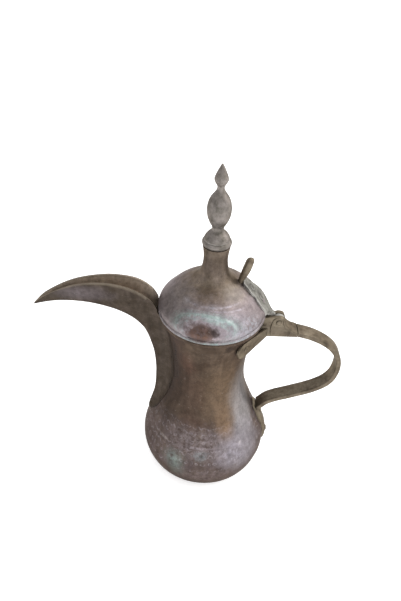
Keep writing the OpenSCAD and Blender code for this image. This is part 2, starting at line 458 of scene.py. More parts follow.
class Board:
    """The node board of a material or of the world."""

    def __init__(self, owner: Metal | bpy.types.World) -> None:
        """Start with the owner's board empty."""
        owner.use_nodes = True
        self.tree = owner.node_tree
        self.tree.nodes.clear()

    def add(self, kind: str, *values: object, into: dict | None = None,
            **settings: object) -> bpy.types.Node:
        """Add a node with its settings and what goes into it.

        Args:
            kind: The node's type, without Blender's prefix.
            *values: What goes into its first inputs, in order: a node, whose
                working output is linked, an output, or a plain value.
            into: The same for other inputs, by name or number.
            **settings: The node's own settings.

        Returns:
            The new node.
        """
        node = self.tree.nodes.new(f"ShaderNode{kind}")
        for key, value in settings.items():
            setattr(node, key, value)
        for key, value in (*enumerate(values), *(into or {}).items()):
            if isinstance(value, bpy.types.Node):
                value = next(socket for socket in value.outputs if socket.enabled)
            if isinstance(value, bpy.types.NodeSocket):
                self.tree.links.new(value, node.inputs[key])
            else:
                node.inputs[key].default_value = value
        return node


# pale dust and lime, sRGB hex
DUST = "#8f8986"


@dataclass(frozen=True)
class Patch:
    """A soft-edged place where the surface has another colour.

    Attributes:
        colour: Its colour, sRGB hex.
        centre: Its centre.
        reach: Its half sizes along X, Y and Z.
        strength: How much of the colour shows.
        fade: The soft edge, as a share of its reach.
        ragged: How far noise moves the edge, as a share of its reach.
        grain: The size of that noise.
        turn: How it is turned about X, Y and Z, in degrees.
        broken: How far it breaks up into flecks, from 0 to 1.
    """

    colour: str
    centre: Point
    reach: Point
    strength: float = 0.8
    fade: float = 0.5
    ragged: float = 0.35
    grain: float = 6
    turn: Point = (0, 0, 0)
    broken: float = 0.35

    def over(self, board: Board, place: Source, colour: Source) -> Source:
        """Lay the patch over a colour.

        Args:
            board: The material's board.
            place: Position in millimetres.
            colour: The colour underneath.

        Returns:
            The colour with the patch on it.
        """
        local = board.add("Mapping", place, vector_type="TEXTURE", into={
            "Location": self.centre, "Scale": self.reach,
            "Rotation": tuple(math.radians(a) for a in self.turn)})
        away = board.add("VectorMath", local, operation="LENGTH")
        noise = board.add("TexNoise", into={
            "Vector": place, "Scale": 1 / self.grain, "Detail": 5.0, "Roughness": 0.65})
        shift = board.add("MapRange", noise, 0.2, 0.8, -self.ragged, self.ragged)
        edge = board.add("Math", away, shift, operation="ADD")
        mask = board.add("MapRange", edge, 1 + self.fade / 2, 1 - self.fade / 2, 0.0,
                         self.strength, interpolation_type="SMOOTHSTEP")
        fleck = board.add("MapRange", noise, 0.42, 0.6, 1 - self.broken, 1.0)
        mask = board.add("Math", mask, fleck, operation="MULTIPLY")
        return board.add("Mix", mask, into={6: colour, 7: linear(self.colour)}, data_type="RGBA")


@dataclass(frozen=True)
class AgedMetal:
    """Old hand-worked metal under a film of tarnish.

    Attributes:
        name: The metal's common name and how it was worked.
        dark: Tarnish in the hollows, sRGB hex.
        mid: The overall tone.
        light: Rubbed tone.
        edge: Bare metal on exposed edges.
        lining: Tone of the inside of a hollow piece.
        metallic: How much of the surface still reflects as metal.
        roughness: Typical microsurface of the tarnish.
        graze: Tint of the sheen seen at a low angle, dulled by the film.
        mottle: Size of the tarnish clouds.
        streaks: How much run and wiped streaks lighten or darken it.
        speckle: How much the fine speckle does.
        dust: How much its pale grains show.
        grain: Size of the finest unevenness.
        relief: Depth of that unevenness.
        patches: Places with their own colour, and places of painted light and shade.
    """

    name: str
    dark: str
    mid: str
    light: str
    edge: str
    lining: str = "#4a413a"
    metallic: float = 0.7
    roughness: float = 0.43
    graze: str = "#9a948c"
    mottle: float = 14
    streaks: float = 0.2
    speckle: float = 0.32
    dust: float = 0.28
    grain: float = 0.7
    relief: float = 0.05
    patches: tuple[Patch, ...] = ()

    def material(self) -> Metal:
        """Build the material."""
        material = bpy.data.materials.new(self.name)
        board = Board(material)
        # millimetres, so that every scale below is one over a real size
        place = board.add("VectorMath", board.add("TexCoord").outputs["Object"],
                          into={"Scale": 1 / MM}, operation="SCALE")
        clouds = board.add("TexNoise", into={
            "Vector": place, "Scale": 1 / self.mottle, "Detail": 7.0, "Roughness": 0.62})
        ramp = board.add("ValToRGB", clouds)
        ramp.color_ramp.elements.new(0.5)
        tones = ((0.32, self.dark), (0.5, self.mid), (0.7, self.light))
        for element, (spot, tone) in zip(ramp.color_ramp.elements, tones):
            element.position, element.color = spot, linear(tone)
        inside = board.add("Attribute", attribute_name="lining").outputs["Fac"]
        colour: Source = board.add("Mix", inside, data_type="RGBA", into={
            6: self.decorated(board, place, ramp), 7: linear(self.lining)})
        for patch in self.patches:
            colour = patch.over(board, place, colour)
        # wiped and run streaks, six millimetres apart and ten times as long
        drawn = board.add("Mapping", place, into={"Scale": (1 / 6, 1 / 6, 1 / 60)})
        streak = board.add("TexNoise", into={
            "Vector": drawn, "Scale": 1.0, "Detail": 5.0, "Roughness": 0.6})
        # speckle of dust and tarnish, four millimetres down to a quarter
        speck = board.add("TexNoise", into={
            "Vector": place, "Scale": 1 / 4, "Detail": 6.0, "Roughness": 0.85})
        for noise, low, high, depth in ((streak, 0.3, 0.7, self.streaks),
                                        (speck, 0.32, 0.68, self.speckle)):
            shade = board.add("MapRange", noise, low, high, 1 - depth, 1 + depth)
            colour = board.add("VectorMath", colour, into={"Scale": shade}, operation="SCALE")
        # a few pale grains of dust and lime, up to a millimetre
        grit = board.add("TexNoise", into={
            "Vector": place, "Scale": 1 / 2.2, "Detail": 3.0, "Roughness": 0.6})
        dust = board.add("MapRange", grit, 0.64, 0.74, 0.0, self.dust)
        # the tarnish is rubbed through on the edges, more in some places than others
        worn = board.add("Attribute", attribute_name="worn").outputs["Fac"]
        rubbed = board.add("Math", worn, clouds, operation="MULTIPLY")
        rubbed = board.add("MapRange", rubbed, 0.12, 0.5, 0.0, 0.75)
        for share, tone in ((dust, DUST), (rubbed, self.edge)):
            colour = board.add("Mix", share, into={6: colour, 7: linear(tone)}, data_type="RGBA")
        rough = board.add("MapRange", speck, 0.3, 0.7, self.roughness - 0.09,
                          self.roughness + 0.1)
        bump = board.add("Bump", into={"Height": self.height(board, place),
                                       "Distance": self.relief * MM, "Strength": 1.0})
        shader = board.add("BsdfPrincipled", into={
            "Base Color": colour, "Metallic": self.metallic, "Roughness": rough,
            "Specular IOR Level": 0.25, "Specular Tint": linear(self.graze), "Normal": bump})
        board.add("OutputMaterial", shader)
        return material

    def decorated(self, board: Board, place: Source, colour: Source) -> Source:
        """Lay this metal's own decoration, if it has any, over its colour."""
        return colour

    def height(self, board: Board, place: Source) -> Source:
        """Build the fine relief: grain with hairline scratches.

        Args:
            board: The material's board.
            place: Position in millimetres.

        Returns:
            The relief, where one is the full depth.
        """
        total = board.add("TexNoise", into={
            "Vector": place, "Scale": 1 / self.grain, "Detail": 4.0, "Roughness": 0.6})
        for turn, seed in ((0.7, 3.0), (-0.9, 11.0), (0.1, 23.0)):
            # noise drawn out forty to one, so that its crests read as scratches
            drawn = board.add("Mapping", place, into={
                "Location": (seed, 2 * seed, 0), "Rotation": (turn, 0.4, turn),
                "Scale": (0.05, 2.2, 2.2)})
            line = board.add("TexNoise", into={"Vector": drawn, "Scale": 0.5, "Detail": 1.0})
            line = board.add("MapRange", line, 0.66, 0.72, 0.0, -0.7)
            total = board.add("Math", total, line, operation="ADD")
        return total


@dataclass(frozen=True)
class MarkRow:
    """A row of chased crescents round the belly.

    Attributes:
        height: Its height.
        count: Marks in a full turn.
        size: Radius of each crescent.
        lift: +1 opens downwards, -1 opens upwards, 0 is a full ring.
    """

    height: float
    count: int
    size: float
    lift: int


@dataclass(frozen=True)
class BellyCopper(AgedMetal):
    """Raised sheet copper with a chased band of crescents round the belly.

    Attributes:
        band: The band's colour.
        band_low: Height of the band's lower edge.
        band_high: Height of its upper edge.
        limescale: Colour of the pale deposit left in the chasing.
        rows: The rows of marks.
    """

    band: str = "#5e5455"
    band_low: float = 14
    band_high: float = 72
    limescale: str = "#9d9699"
    rows: tuple[MarkRow, ...] = (
        MarkRow(71, 46, 2.4, 1), MarkRow(65.5, 46, 2.2, 1), MarkRow(59.5, 54, 1.2, 0),
        MarkRow(53, 60, 1.9, -1), MarkRow(45.5, 50, 2.5, 1), MarkRow(40, 66, 1.1, 0),
        MarkRow(33, 56, 2.1, -1))

    def decorated(self, board: Board, place: Source, colour: Source) -> Source:
        """Lay the purple band and its pale marks over the copper."""
        split = board.add("SeparateXYZ", place)
        wobble = board.add("TexNoise", into={
            "Vector": place, "Scale": 1 / 9, "Detail": 7.0, "Roughness": 0.75})
        drift = board.add("MapRange", wobble, 0.25, 0.75, -9.0, 9.0)
        level = board.add("Math", split.outputs["Z"], drift, operation="ADD")
        low = board.add("MapRange", level, self.band_low - 12, self.band_low + 12, 0.3, 1.0)
        high = board.add("MapRange", level, self.band_high + 8, self.band_high - 8, 0.0, 1.0)
        # the bloom is cloudy: more of it in some places than in others
        cloud = board.add("MapRange", wobble, 0.36, 0.62, 0.85, 0.3)
        mask = board.add("Math", low, high, operation="MULTIPLY")
        mask = board.add("Math", mask, cloud, operation="MULTIPLY")
        fine = board.add("TexNoise", into={
            "Vector": place, "Scale": 1 / 3.5, "Detail": 4.0, "Roughness": 0.7})
        patchy = board.add("MapRange", fine, 0.42, 0.66, 0.05, 0.55)
        shown = board.add("Math", self.marks(board, place), patchy, operation="MULTIPLY")
        for share, tone in ((mask, self.band), (shown, self.limescale)):
            colour = board.add("Mix", share, into={6: colour, 7: linear(tone)}, data_type="RGBA")
        return colour

    def height(self, board: Board, place: Source) -> Source:
        """Press the crescents into the usual relief."""
        total = super().height(board, place)
        return board.add("Math", self.marks(board, place), -1.6, total, operation="MULTIPLY_ADD")

    def marks(self, board: Board, place: Source) -> Source:
        """Draw every row of marks.

        Args:
            board: The material's board.
            place: Position in millimetres.

        Returns:
            One on the marks and zero between them.
        """
        # punched by hand: every mark is a little out of true and out of line
        sway = board.add("TexNoise", into={"Vector": place, "Scale": 1 / 7, "Detail": 3.0})
        sway = board.add("VectorMath", sway.outputs["Color"], (0.5, 0.5, 0.5),
                         operation="SUBTRACT")
        sway = board.add("VectorMath", sway, into={"Scale": 6.0}, operation="SCALE")
        split = board.add("SeparateXYZ", board.add("VectorMath", place, sway))
        angle = board.add("Math", split.outputs["Y"], split.outputs["X"], operation="ARCTAN2")
        total: Source | None = None
        for row in self.rows:
            turn = board.add("Math", angle, row.count / math.tau, operation="MULTIPLY")
            cell = board.add("Math", turn, operation="FRACT")
            pitch = math.tau * lookup(PotBody.outside(), row.height) / row.count
            across = board.add("Math", cell, pitch, -pitch / 2, operation="MULTIPLY_ADD")
            up = board.add("Math", split.outputs["Z"], row.height, operation="SUBTRACT")
            spot = board.add("CombineXYZ", across, up)
            ring = board.add("VectorMath", spot, operation="LENGTH")
            off = board.add("Math", ring, row.size, operation="SUBTRACT")
            off = board.add("Math", off, operation="ABSOLUTE")
            # a punched line three quarters of a millimetre wide
            mark = board.add("MapRange", off, 0.75, 0.1, 0.0, 1.0)
            if row.lift:
                side = board.add("MapRange", up, -0.4 * row.lift, 0.8 * row.lift, 0.0, 1.0)
                mark = board.add("Math", mark, side, operation="MULTIPLY")
            total = mark if total is None else board.add("Math", total, mark,
                                                         operation="MAXIMUM")
        return total


@dataclass(frozen=True)
class EngravedLine:
    """A line round the dome, pale where lime has stayed in it.

    Attributes:
        height: Its height, where the bearing is zero.
        slope: How much lower it gets for each degree of bearing.
        width: Its half width.
        bearing: Where the lime is thickest, in degrees.
        reach: How far it spreads to each side, in degrees.
        strength: How much shows there.
        elsewhere: How much shows further round.
        colour: The lime's colour, sRGB hex.
    """

    height: float
    slope: float
    width: float
    bearing: float
    reach: float
    strength: float
    elsewhere: float
    colour: str


@dataclass(frozen=True)
class Cartouche:
    """The oval chased on the dome.

    Attributes:
        bearing: Its bearing, in degrees.
        height: Height of its middle.
        half_width: Half its width.
        half_height: Half its height.
    """

    bearing: float = -99
    height: float = 184.6
    half_width: float = 24.5
    half_height: float = 10.6


@dataclass(frozen=True)
class LidCopper(AgedMetal):
    """Raised sheet copper with an oval cartouche and engraved lines on the dome.

    Attributes:
        blush: Purple-pink film on the lower dome.
        verdigris: Pale copper salts in the cartouche's frame.
        frame: Rings of salts: middle and half width as shares of the oval, how
            much is left in the gaps, and how much shows.
        lines: The lines round the dome.
    """

    blush: str = "#948b90"
    verdigris: str = "#99b0ab"
    frame: tuple[Point, ...] = ((0.95, 0.12, 0.4, 1.0), (0.76, 0.1, 0.0, 0.6),
                                (1.12, 0.06, 0.0, 0.5))
    lines: tuple[EngravedLine, ...] = (
        EngravedLine(198.7, 0, 0.75, -95, 44, 0.95, 0.12, "#a39ca2"),
        EngravedLine(193.7, 0.039, 0.7, -70, 27, 0.9, 0.12, "#a39ca2"),
        EngravedLine(176.2, 0, 1.3, -86, 38, 0.8, 0.25, "#7f918e"),
        EngravedLine(179.4, 0, 0.5, -80, 30, 0.6, 0.1, "#8f9a99"))

    def decorated(self, board: Board, place: Source, colour: Source) -> Source:
        """Lay the blush, the engraved lines and the cartouche over the copper."""
        split = board.add("SeparateXYZ", place)
        z = split.outputs["Z"]
        rough = board.add("TexNoise", into={
            "Vector": place, "Scale": 1 / 5, "Detail": 6.0, "Roughness": 0.7})
        drift = board.add("MapRange", rough, 0.25, 0.75, -3.0, 3.0)
        level = board.add("Math", z, drift, operation="ADD")
        film = board.add("MapRange", level, 206.0, 194.0, 0.0, 0.85)
        layers: list[tuple[Source, str]] = [(film, self.blush)]
        angle = board.add("Math", split.outputs["Y"], split.outputs["X"], operation="ARCTAN2")
        fine = board.add("TexNoise", into={
            "Vector": place, "Scale": 1 / 3, "Detail": 5.0, "Roughness": 0.75})
        for line in self.lines:
            level = board.add("Math", angle, math.degrees(line.slope), z,
                              operation="MULTIPLY_ADD")
            off = board.add("Math", level, line.height, operation="SUBTRACT")
            off = board.add("Math", off, operation="ABSOLUTE")
            drawn = board.add("MapRange", off, line.width, line.width / 4, 0.0, 1.0)
            middle, reach = (math.radians(a) for a in (line.bearing, line.reach))
            past = board.add("Math", angle, middle, operation="SUBTRACT")
            past = board.add("Math", past, operation="ABSOLUTE")
            held = board.add("MapRange", past, reach * 1.15, reach * 0.7, line.elsewhere,
                             line.strength)
            kept = board.add("MapRange", fine, 0.4, 0.58, 0.15, 1.0)
            for factor in (held, kept):
                drawn = board.add("Math", drawn, factor, operation="MULTIPLY")
            layers.append((drawn, line.colour))
        # distance from the cartouche's middle, one on its outline
        oval = Cartouche()
        turn = math.radians(oval.bearing)
        along, front = (
            board.add("VectorMath", place, direction, operation="DOT_PRODUCT")
            for direction in ((-math.sin(turn), math.cos(turn), 0),
                              (math.cos(turn), math.sin(turn), 0)))
        facing = board.add("Math", front, 5.0, operation="GREATER_THAN")
        u = board.add("Math", along, 1 / oval.half_width, operation="MULTIPLY")
        v = board.add("Math", z, 1 / oval.half_height, -oval.height / oval.half_height,
                      operation="MULTIPLY_ADD")
        away = board.add("VectorMath", board.add("CombineXYZ", u, v), operation="LENGTH")
        jitter = board.add("MapRange", fine, 0.25, 0.75, -0.12, 0.12)
        away = board.add("Math", away, jitter, operation="ADD")
        # the salts are thick along the frame's upper side and thin along its lower one
        upper = board.add("MapRange", v, -0.5, 0.4, 0.25, 1.0)
        for middle, half, low, share in self.frame:
            off = board.add("Math", away, middle, operation="SUBTRACT")
            off = board.add("Math", off, operation="ABSOLUTE")
            ring = board.add("MapRange", off, half, half / 4, 0.0, share)
            kept = board.add("MapRange", fine, 0.38, 0.58, low, 1.0)
            for factor in (kept, upper, facing):
                ring = board.add("Math", ring, factor, operation="MULTIPLY")
            layers.append((ring, self.verdigris))
        for share, tone in layers:
            colour = board.add("Mix", share, into={6: colour, 7: linear(tone)}, data_type="RGBA")
        return colour


# --------------------------------------------------------------- pieces


@dataclass
class PotBody(SubAssembly):
    """The raised body with its base and the ring round its mouth.

    Attributes:
        line: Outside profile, (radius, height).
        wall: Sheet thickness.
        steps: Facets round the body.
        spacing: Distance between rings of faces.
        port_half: Half the width of the way into the spout.
        port: Its lowest and highest point.
    """

    line: tuple[Point, ...] = (
        (46.2, 1.6), (53, 8.7), (56.4, 19), (57.2, 28), (55.4, 38.5), (50.6, 50.5),
        (43.3, 67.4), (36.1, 86.9), (32.3, 105), (32, 122), (33.7, 143), (36.9, 161),
        (41.2, 174))
    wall: float = 1.4
    steps: int = 300
    spacing: float = 1.15
    port_half: float = 4.5
    port: Point = (112, 166)
    WORN = False

    @classmethod
    def outside(cls) -> Line:
        """Give the outside profile as a smooth line."""
        return curve(cls.line, 6)

    @classmethod
    def solid(cls, grow: float = 0.05) -> Piece:
        """Make the pot's full volume, to cut other pieces to its surface."""
        rim = [(r + grow, z) for r, z in evened(cls.outside(), 2.5)]
        return turned("pot_volume", [(0, 1.6), *rim, (0, 174)], 180)

    def build(self) -> Made:
        """Model the shell, base plate and mouth ring."""
        outer = evened(self.outside(), self.spacing)
        inner = evened(beside(self.outside(), self.wall), 3.2)
        shell = turned("pot_shell", [*outer, *reversed(inner)], self.steps, shut=True)
        # the hammer marks fade out towards the base and the mouth
        weights = [min(1.0, max(0.0, (v.co.z / MM - 4) / 12))
                   * min(1.0, max(0.0, (168 - v.co.z / MM) / 12)) for v in shell.data.vertices]
        grouped(shell, "hammered", weights)
        dented(shell, 26, 0.32, "hammered")
        dented(shell, 9, 0.09, "hammered")
        shell.vertex_groups.clear()
        low, high = self.port
        r = self.port_half
        half_turn = [math.pi * i / 12 for i in range(13)]
        slot = [(high - r + r * math.sin(t), r * math.cos(t)) for t in half_turn]
        slot += [(low + r - r * math.sin(t), -r * math.cos(t)) for t in half_turn]
        cut(shell, lofted("port_tool", [[(x, y, z) for z, y in slot] for x in (-50, -22)]))
        mark(shell, "lining", [float(v.normal.x * v.co.x + v.normal.y * v.co.y < 0)
                               for v in shell.data.vertices])
        base = turned("pot_base", [
            (0, 0.5), (12, 0.5), (36.5, 0.45), (38.4, 0.05), (39.2, 0), (44, 0), (45.1, 0.35),
            (45.7, 0.85), (45.9, 1.55), (44, 1.6), (0, 1.6)], 160)
        lip = curve(((41.35, 170.45), (42.05, 170.9), (42.38, 171.9), (42.36, 172.9),
                     (41.95, 173.7), (41.3, 173.98)), 3)
        ring = turned("mouth_ring_wire", [(40.2, 170.4), *lip, (41.15, 173.6)], 200, shut=True)
        return [(shell, "body_shell"), (base, "base_plate"), (ring, "mouth_ring")]


@dataclass
class Spout(SubAssembly):
    """The open V-section beak, riding up the neck and out to a point.

    Attributes:
        free: Ribs clear of the neck: keel x and z, lip x and z, half width.
        neck: Ribs on the neck: keel x and z, seam height, half width.
        sheet: Sheet thickness.
        side: Points up each wall.
        keel: How round the keel is, as a share of the half width.
        bow: How far the walls bow out, as a power of the share of the half width.
        sunk: How far its lips go into the neck's sheet.
        fillet: Reach of the solder along them.
    """

    free: tuple[Point, ...] = (
        (-143.9, 171.4, -143.5, 172.8, .9), (-135.8, 173.7, -136, 180.6, 2.9),
        (-129, 175.3, -128, 186.3, 3.7), (-122, 176.3, -119.5, 191.2, 4.3),
        (-111.1, 176.6, -108, 196.2, 4.9), (-100, 175.6, -96, 199.1, 5.6),
        (-92.5, 174.2, -85, 200.2, 6.5), (-85.4, 172.2, -75, 199.7, 7.4),
        (-78.5, 169.8, -65, 197.6, 8.3), (-71.5, 166.4, -58, 194.6, 8.9),
        (-65.8, 162.8, -52, 190.4, 9.1), (-60.8, 158.4, -47.4, 185.4, 9.1),
        (-56.8, 153.4, -44, 179, 9.1), (-54.6, 150, -43, 174.6, 9))
    neck: tuple[Point, ...] = (
        (-52, 143.6, 164.5, 8.8), (-49.6, 135.5, 153, 8.6), (-47.6, 127, 141, 8.4),
        (-46.4, 118, 130, 8.2), (-45.8, 108, 118, 8), (-45.8, 97, 105, 7.6),
        (-46.2, 87, 93, 7.1), (-47.4, 77.5, 82, 6.6), (-49.8, 67.6, 71, 5.4),
        (-52.2, 59, 61, 3.8), (-53, 54, 55, 2.4), (-52.6, 50.5, 51, 1.4))
    sheet: float = 1.3
    side: int = 9
    keel: float = 0.2
    bow: float = 1.08
    sunk: float = 0.9
    fillet: float = 4.5
    CRISP = 50.0

    def section(self, rib: Point) -> Line:
        """Draw one section: outside from lip to lip, then inside and back.

        Args:
            rib: Keel x and z, lip x and z, and half width.

        Returns:
            The section's points.
        """
        keel, lip = Vector((rib[0], 0, rib[1])), Vector((rib[2], 0, rib[3]))
        half, depth = rib[4], (lip - keel).length
        up = (lip - keel) / depth
        thick = min(self.sheet, 0.45 * half)
        deep = min(thick * math.hypot(depth, half) / half, 0.6 * depth)
        k = self.keel
        found: Line = []
        for width, start, sign in ((half, 0.0, 1), (half - thick, deep, -1)):
            for i in range(-self.side, self.side + 1):
                share = sign * i / self.side
                bend = (math.sqrt(share * share + k * k) - k) / (math.sqrt(1 + k * k) - k)
                run = start + (depth - start) * bend ** self.bow
                # the rim of the sheet is rounded over by wear
                run -= 0.25 * thick if abs(share) == 1 and sign < 0 else 0
                found.append(tuple(keel + up * run + Vector((0, share * width, 0))))
        return found

    def build(self) -> Made:
        """Loft the beak from its tip down to the belly."""
        body = PotBody.outside()
        on_neck = [
            (x, z, -math.sqrt((lookup(body, seam) - self.sunk) ** 2 - half * half), seam, half)
            for x, z, seam, half in self.neck]
        ribs = curve([*self.free, *on_neck], 4)
        spout = lofted("spout_beak", [self.section(rib) for rib in ribs])
        dented(spout, 14, 0.12)
        mark(spout, "lining", [float(v.normal.y * v.co.y < 0) for v in spout.data.vertices])
        seams = [self.solder(side) for side in (-1, 1)]
        for seam in seams:
            mark(seam, "lining", [0.0] * len(seam.data.vertices))
        return [(joined("spout_beak", [spout, *seams]), "spout")]

    def solder(self, side: int) -> Piece:
        """Run a hollow fillet of solder down one side of the beak, against the neck.

        Args:
            side: -1 or 1, the side along Y.

        Returns:
            The fillet.
        """
        body, k = PotBody.outside(), self.keel
        slope = self.bow / math.hypot(1, k) / (math.hypot(1, k) - k)
        sections = []
        for x, z, seam, half in curve(self.neck, 4):
            r = lookup(body, seam)
            foot = Vector((-math.sqrt(r * r - half * half), half * side, seam))
            up = foot - Vector((x, 0, z))
            wall = -Vector((up.x * slope, half * side, up.z * slope)).normalized()
            skin = Vector((-foot.y, foot.x, 0)) / r * -side
            inwards = -Vector((foot.x, foot.y, 0)) / r
            size = self.fillet * min(1.0, 0.3 + (seam - 50) / 16)
            high, low = foot + wall * size, foot + skin * size + inwards * -0.04
            bowed = [high.lerp(foot, t).lerp(foot.lerp(low, t), t)
                     for t in (i / 8 for i in range(9))]
            behind = [low + inwards * 0.7, foot + inwards * 0.9 - skin * 0.6,
                      high - skin * 0.8]
            sections.append([tuple(p) for p in bowed + behind])
        return lofted("spout_solder", sections)

    def dress(self, pieces: Made, metal: Metal) -> None:
        """Dress the beak, with no wear on the edges that the neck covers."""
        super().dress(pieces, metal)
        for piece, _ in pieces:
            wear = piece.data.attributes["worn"].data
            for vertex in piece.data.vertices:
                if vertex.co.x > self.neck[0][0] * MM:
                    wear[vertex.index].value = 0.0


@dataclass
class Rivet:
    """A shank with a hammered head outside and a peened end inside.

    Attributes:
        head: Radius of the head.
        grip: Thickness that it clamps outside the pot's sheet.
        crown: Height of the head.
    """

    head: float
    grip: float
    crown: float = 1.1

    def build(self, name: str, matrix: Matrix, inside: float = 1.4) -> Piece:
        """Turn the rivet and set it in place.

        Args:
            name: The piece's name.
            matrix: Where it goes, with Z outwards and its origin on the sheet.
            inside: The sheet's own thickness.

        Returns:
            The rivet.
        """
        g, h = self.grip, self.head
        line = [(0, -inside - 1.3), (1.6, -inside - 1.3), (2.1, -inside - 0.9),
                (2.15, -inside - 0.45), (1.5, -inside - 0.3), (1.5, g), (h - 0.1, g),
                (h, g + 0.22), (h * 0.93, g + self.crown * 0.55),
                (h * 0.72, g + self.crown * 0.88), (h * 0.38, g + self.crown), (0, g + self.crown)]
        rivet = turned(name, line, 28)
        dented(rivet, 1.7, 0.07)
        return moved(rivet, matrix)


def set_on(x: float, y: float, z: float, tilt: float, bearing: float = 0) -> Matrix:
    """Give the place of something set square on a sloping surface.

    Args:
        x: Its place along X.
        y: Its place along Y.
        z: Its height.
        tilt: How far its Z axis leans from upright, in degrees.
        bearing: The way it leans, in degrees.

    Returns:
        The matrix, in metres.
    """
    return (Matrix.Translation(Vector((x, y, z)) * MM)
            @ Matrix.Rotation(math.radians(bearing), 4, "Z")
            @ Matrix.Rotation(math.radians(tilt), 4, "Y"))


@dataclass
class Handle(SubAssembly):
    """The brass strap handle with its cast bracket, leaf plate and clasp.

    Attributes:
        middle: Middle line of the strap, (x, z).
        start: Where the strap meets the bracket.
        width: Width of the strap and bracket.
        thick: Thickness of the strap.
        leaf_half: Half width of the leaf plate at each height.
        leaf_thick: Thickness of the leaf plate.
        arm_turn: Bearing of the clasp arms, in degrees.
        arm_face: Distance of their outer face from the pot's axis.
        arm_thick: Their thickness.
    """

    middle: tuple[Point, ...] = (
        (71.6, 156.1), (83, 153), (94, 148), (102.5, 141.6), (108.6, 134), (112, 125),
        (112.5, 115.5), (110.8, 106), (106, 97.8), (98.6, 91.6), (89, 86), (77, 80.6),
        (65, 75.4), (56.4, 70.6), (52, 65.4), (45, 57.2))
    start: float = 71.55
    width: float = 13
    thick: float = 4.6
    leaf_half: tuple[Point, ...] = (
        (5.6, 64.4), (6.8, 58), (7.8, 48), (8, 35), (7.4, 24), (5, 16.5), (0.4, 13))
    leaf_thick: float = 3
    arm_turn: float = 42.5
    arm_face: float = 38.6
    arm_thick: float = 2.4
    SLOT = Slot.BRASS
    CRISP = 38.0

    def strap(self) -> Piece:
        """Loft the strap and land its lower end on the leaf."""
        line = evened(curve(self.middle, 8), 1.7)
        half_w, half_t = self.width / 2, self.thick / 2
        sections = []
        for i, place, out in framed(line):
            ring = []
            for t in (math.tau * (j + 0.5) / 36 for j in range(36)):
                # a flat bar with its corners filed round
                y = half_w * squarer(math.cos(t), 0.2)
                up = half_t * squarer(math.sin(t), 0.42)
                spot = place + out * up + Vector((0, y, 0))
                if i < 4:
                    # square end against the bracket
                    spot.x = max(spot.x, self.start + 0.4 * i)
                ring.append(tuple(spot))
            sections.append(ring)
        strap = lofted("handle_bar", sections)
        dented(strap, 12, 0.16)
        dented(strap, 3.5, 0.05)
        cut(strap, PotBody.solid(self.leaf_thick + 0.05))
        return strap

    def bracket(self) -> Piece:
        """Model the cast bracket with its raised border and the knuckle slot."""
        hx, hz = HINGE
        arch = [(hx + 5.6 * math.cos(math.radians(a)), hz + 5.6 * math.sin(math.radians(a)))
                for a in range(5, 111, 15)]
        ogee = curve(((71.5, 158.4), (67.6, 159.6), (64.2, 162.2), (61.2, 165.2)), 4)
        outline = [(34, 153.2), (71.5, 153.9), *ogee, *arch, (47.5, 172.4), (34, 170.2)]
        half = self.width / 2
        bracket = slab("handle_casting", outline, -half, half)
        with editing(bracket):
            bpy.ops.mesh.select_all(action="SELECT")
            for level in (158.6, 160.6, 162.6):
                bpy.ops.mesh.bisect(plane_co=(0, 0, level * MM), plane_no=(0, 0, 1))
                bpy.ops.mesh.select_all(action="SELECT")
            for level, share in ((159.5, 0.86), (161.5, 0.9), (162.3, 0.935)):
                self.select(bracket, lambda p: p.z > level)
                bpy.ops.transform.resize(value=(1, share, 1), center_override=(0, 0, 0))
        softened(bracket, 0.45, 3, 50)
        dented(bracket, 5, 0.1)
        weld(bracket, self.border(-1), self.border(1))
        slot = [(44, 180), (44, 168)]
        slot += [(hx + 6.2 * math.cos(math.radians(a)), hz + 6.2 * math.sin(math.radians(a)))
                 for a in range(180, 361, 15)]
        slot += [(62.4, 180)]
        lid_room = turned("lid_room", [(30, 170.3), (42.5, 170.3), (42.5, 180), (30, 180)],
                          120, shut=True)
        cut(bracket, PotBody.solid(), lid_room, slab("slot_tool", slot, -1.9, 1.9))
        return bored(bracket)

    def border(self, side: int) -> Piece:
        """Loft the raised border that runs over a cheek's arch and down its ogee.

        Args:
            side: -1 for the near cheek, 1 for the far one.

        Returns:
            The border, sunk half into the cheek.
        """
        hx, hz = HINGE
        arch = [(hx + 4.7 * math.cos(math.radians(a)), hz + 4.7 * math.sin(math.radians(a)))
                for a in range(165, 15, -25)]
        path = evened(curve(((49.6, 154.6), (49.3, 161), *arch, (60.4, 163.6), (63.3, 160.9),
                             (67, 158.4), (71.0, 157.2)), 6), 0.7)
        sections = []
        for i, place, out in framed(path):
            half = lookup(((6.5, 158.6), (5.6, 160.6), (5.05, 162.6), (4.7, 164)), path[i][1])
            size = 0.95 * min(1.0, 0.35 + i / 8, 0.35 + (len(path) - 1 - i) / 8)
            sections.append([tuple(
                place + Vector((0, side * half, 0)) + out * size * math.cos(t)
                + Vector((0, 0.85 * size * math.sin(t), 0)))
                for t in (math.tau * j / 12 for j in range(12))])
        return lofted("border", sections)

    @staticmethod
    def select(piece: Piece, rule: Callable[[Vector], bool]) -> None:
        """Select the vertices whose place, in millimetres, keeps a rule."""
        bpy.ops.mesh.select_all(action="DESELECT")
        mesh = bmesh.from_edit_mesh(piece.data)
        for vertex in mesh.verts:
            vertex.select_set(rule(vertex.co / MM))
        mesh.select_flush_mode()

